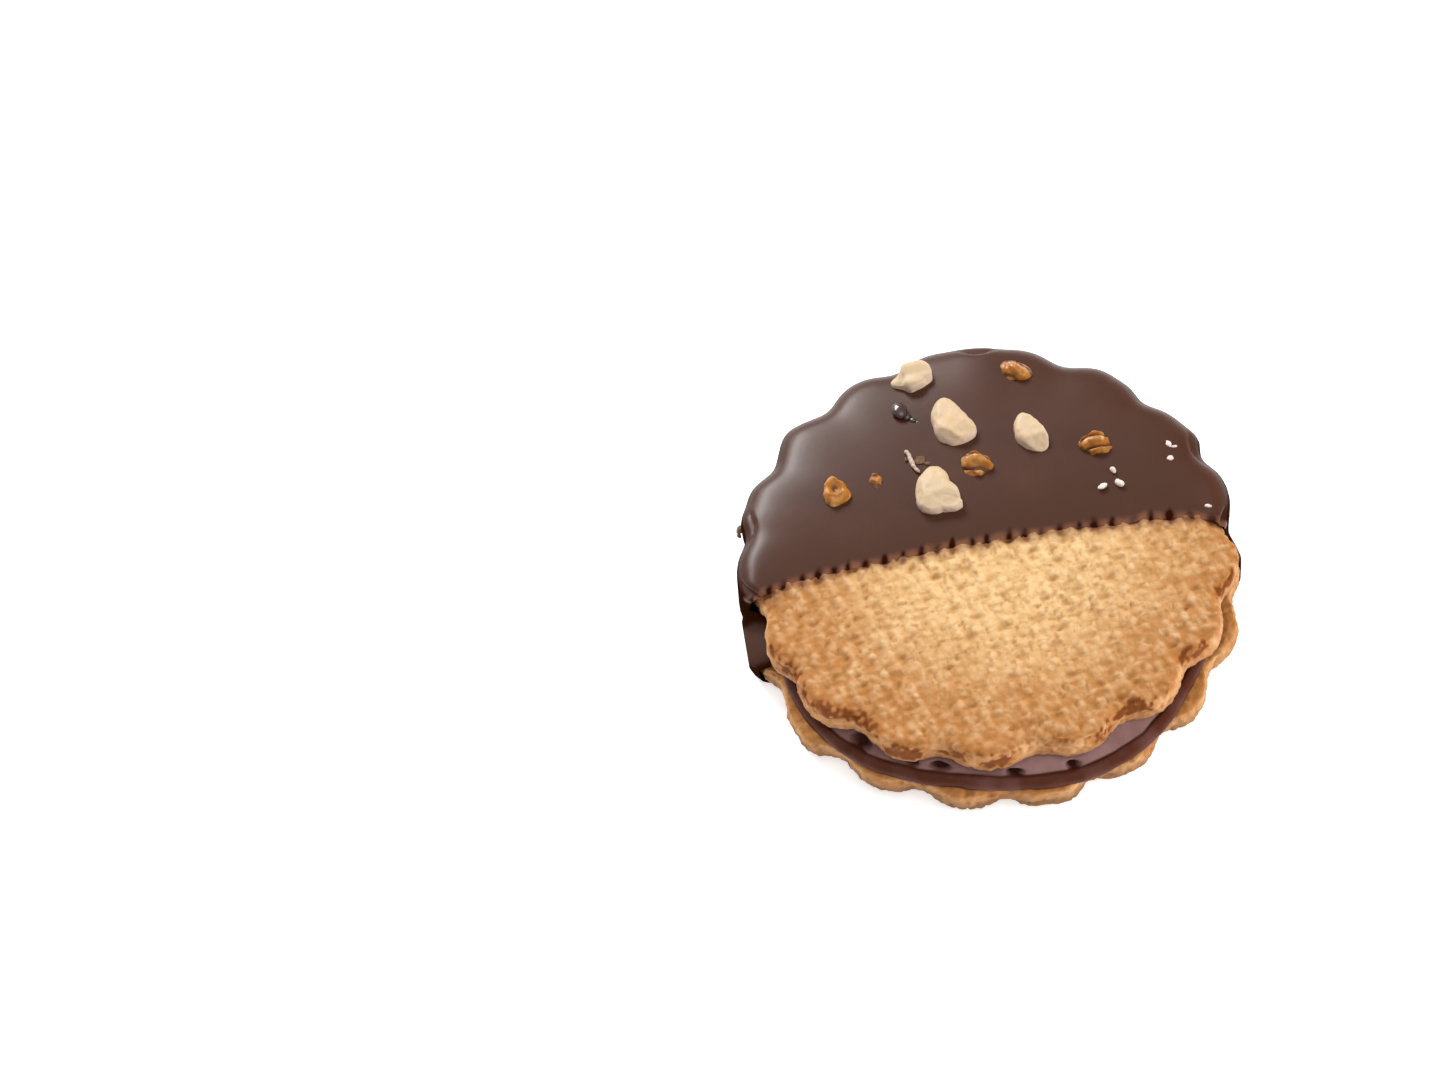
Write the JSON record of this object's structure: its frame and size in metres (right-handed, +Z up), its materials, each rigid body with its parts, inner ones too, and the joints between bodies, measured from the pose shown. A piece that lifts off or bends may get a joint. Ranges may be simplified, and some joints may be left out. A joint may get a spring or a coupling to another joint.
{
  "type": "half-dipped chocolate sable",
  "caption": "Two fluted shortbread biscuits with a chocolate filling squeezed out at the rim, one half dipped in chocolate and topped with chopped nuts and caramel bits.",
  "frame": {"origin": "under the middle of the lower biscuit, on the plane the sable rests on", "axes": "+Z up through the stack; the dip line runs along X; the chocolate-dipped half lies towards +Y and the bare half towards -Y"},
  "size_m": [0.061, 0.0625, 0.0147],
  "materials": {
    "baked_biscuit": "matt golden baked shortbread, pitted, browner at the rim",
    "chocolate_cream": "soft glossy dark chocolate cream",
    "chocolate_coat": "satin dark milk chocolate, set smooth",
    "chopped_nut": "pale ivory nut with a soft oily sheen",
    "caramel": "glossy amber caramel, chewy and slightly translucent"
  },
  "bodies": {
    "root": {"biscuit_lower": "baked_biscuit", "biscuit_upper": "baked_biscuit", "cream_filling": "chocolate_cream", "chocolate_coat": "chocolate_coat", "nut_far_rim": "chopped_nut", "nut_wedge": "chopped_nut", "nut_almond": "chopped_nut", "nut_block": "chopped_nut", "caramel_drop": "caramel", "caramel_crumb": "caramel", "caramel_middle": "caramel", "caramel_right": "caramel", "caramel_far_rim": "caramel"}
  },
  "joints": []
}
